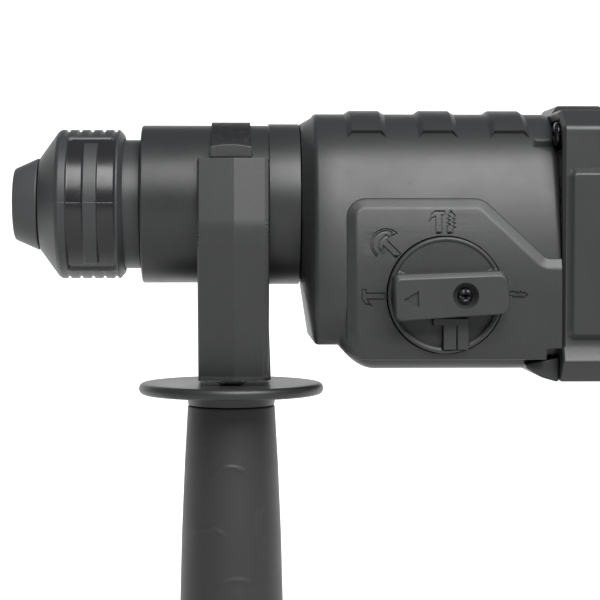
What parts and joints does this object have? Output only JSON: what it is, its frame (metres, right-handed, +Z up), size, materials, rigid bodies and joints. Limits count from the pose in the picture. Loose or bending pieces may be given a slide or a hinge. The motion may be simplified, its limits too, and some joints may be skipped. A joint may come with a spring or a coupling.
{
  "type": "rotary hammer",
  "caption": "Corded rotary hammer with a bit chuck, a mode dial, a clamp-on side handle with a round guard, and a rear D-handle with a trigger.",
  "frame": {"origin": "flat front face of the anvil, on the spindle axis, where the end of a bit's shank rests", "axes": "+X runs back along the spindle to the D-handle, -Y is the tool's left side with the mode selector, +Z is up"},
  "size_m": [0.377, 0.0857, 0.2127],
  "materials": {
    "housing_plastic": "fine-textured moulded nylon, charcoal",
    "smooth_plastic": "satin moulded plastic, charcoal",
    "neck_plastic": "fine-textured, charcoal",
    "cap_rubber": "matt grey-black rubber",
    "soft_rubber": "matt black soft grip",
    "seal_rubber": "black nitrile",
    "black_steel": "blackened, glossy",
    "ground_steel": "ground and hardened",
    "bearing_steel": "polished",
    "cast_alloy": "die cast",
    "copper": "turned copper segments",
    "carbon": "pressed carbon",
    "carrier_plastic": "heat-resistant moulding",
    "button_red": "satin red plastic"
  },
  "bodies": {
    "tool_body": {"spindle_neck": "neck_plastic", "oil_seal": "seal_rubber", "front_bearing": "bearing_steel", "spindle_rear_bearing": "bearing_steel", "gear_housing": "housing_plastic", "bearing_bridge": "cast_alloy", "inner_flange": "cast_alloy", "flange_screw_upper_left": "black_steel", "flange_screw_upper_right": "black_steel", "flange_screw_lower_left": "black_steel", "flange_screw_lower_right": "black_steel", "countershaft_front_bearing": "bearing_steel", "countershaft_rear_bearing": "bearing_steel", "motor_housing": "housing_plastic", "stator": "ground_steel", "armature_front_bearing": "bearing_steel", "armature_rear_bearing": "bearing_steel", "brush_carrier": "carrier_plastic", "carbon_brush_left": "carbon", "carbon_brush_right": "carbon", "handle_shell_left": "housing_plastic", "handle_shell_right": "housing_plastic", "handle_soft_grip": "soft_rubber", "switch_module": "carrier_plastic", "cable_gland": "seal_rubber", "handle_screw_top_front": "black_steel", "handle_screw_top_rear": "black_steel", "handle_screw_bottom_rear": "black_steel", "handle_screw_bottom_front": "black_steel"},
    "spindle_set": {"spindle": "ground_steel", "dust_cap": "cap_rubber", "sleeve_carrier": "smooth_plastic", "sleeve_spring": "bearing_steel", "locking_ball": "bearing_steel", "spindle_gear": "ground_steel", "clutch_spring": "bearing_steel"},
    "chuck_sleeve": {"locking_sleeve": "smooth_plastic"},
    "countershaft_set": {"countershaft": "ground_steel", "countershaft_gear": "ground_steel", "wobble_hub": "ground_steel"},
    "armature": {"armature_shaft": "ground_steel", "armature_core": "ground_steel", "commutator": "copper", "cooling_fan": "carrier_plastic"},
    "wobble_drive": {"wobble_ring": "bearing_steel"},
    "piston_set": {"piston": "cast_alloy"},
    "striker_set": {"striker": "ground_steel"},
    "anvil_set": {"anvil": "ground_steel"},
    "trigger_set": {"trigger": "smooth_plastic"},
    "lock_on": {"lock_on_button": "button_red"},
    "direction_switch": {"direction_button": "smooth_plastic"},
    "selector": {"selector_dial": "smooth_plastic", "selector_screw": "black_steel"},
    "selector_lock": {"selector_lock_button": "smooth_plastic"},
    "side_handle": {"side_handle_yoke": "housing_plastic", "clamp_band": "black_steel", "clamp_bolt": "bearing_steel"},
    "side_grip": {"guard_disc": "smooth_plastic", "grip_sleeve": "soft_rubber"}
  },
  "joints": [
    {"name": "armature_spin", "type": "hinge", "parent": "tool_body", "child": "armature", "pos_m": [0.16, 0, -0.0088], "axis": [1, 0, 0], "continuous": true},
    {"name": "countershaft_spin", "type": "hinge", "parent": "tool_body", "child": "countershaft_set", "pos_m": [0.085, 0, -0.0283], "axis": [1, 0, 0], "continuous": true},
    {"name": "spindle_spin", "type": "hinge", "parent": "tool_body", "child": "spindle_set", "pos_m": [0, 0, 0], "axis": [1, 0, 0], "continuous": true},
    {"name": "sleeve_slide", "type": "slide", "parent": "spindle_set", "child": "chuck_sleeve", "axis": [1, 0, 0], "range_m": [0, 0.0049], "stiffness_N_per_m": 800},
    {"name": "wobble_swing", "type": "hinge", "parent": "tool_body", "child": "wobble_drive", "pos_m": [0.092, 0, -0.0283], "axis": [0, 1, 0], "range_deg": [-12, 12]},
    {"name": "piston_slide", "type": "slide", "parent": "tool_body", "child": "piston_set", "axis": [1, 0, 0], "range_m": [-0.006, 0.006]},
    {"name": "striker_slide", "type": "slide", "parent": "tool_body", "child": "striker_set", "axis": [1, 0, 0], "range_m": [-0.006, 0.006]},
    {"name": "anvil_slide", "type": "slide", "parent": "tool_body", "child": "anvil_set", "axis": [1, 0, 0], "range_m": [0, 0.004]},
    {"name": "trigger_pull", "type": "slide", "parent": "tool_body", "child": "trigger_set", "axis": [1, 0, 0], "range_m": [0, 0.006], "stiffness_N_per_m": 600},
    {"name": "lock_on_press", "type": "slide", "parent": "tool_body", "child": "lock_on", "axis": [0, 1, 0], "range_m": [0, 0.003], "stiffness_N_per_m": 500},
    {"name": "direction_push", "type": "slide", "parent": "tool_body", "child": "direction_switch", "axis": [0, 1, 0], "range_m": [0, 0.005]},
    {"name": "selector_turn", "type": "hinge", "parent": "tool_body", "child": "selector", "pos_m": [0.078, 0, -0.0278], "axis": [0, 1, 0], "range_deg": [0, 180]},
    {"name": "selector_lock_press", "type": "slide", "parent": "selector", "child": "selector_lock", "axis": [0, 1, 0], "range_m": [0, 0.0012], "stiffness_N_per_m": 400},
    {"name": "side_handle_swing", "type": "hinge", "parent": "tool_body", "child": "side_handle", "pos_m": [0.0135, 0, 0], "axis": [1, 0, 0], "range_deg": [-180, 180]},
    {"name": "grip_twist", "type": "hinge", "parent": "side_handle", "child": "side_grip", "pos_m": [0.0135, 0, -0.1], "axis": [0, 0, -1], "range_deg": [0, 360]}
  ],
  "couplings": [
    {"joint": "countershaft_spin", "follows": "armature_spin", "ratio": -0.2},
    {"joint": "spindle_spin", "follows": "armature_spin", "ratio": 0.054545},
    {"joint": "piston_slide", "follows": "wobble_swing", "m_per_rad": 0.0283},
    {"joint": "striker_slide", "follows": "wobble_swing", "m_per_rad": 0.0283}
  ]
}
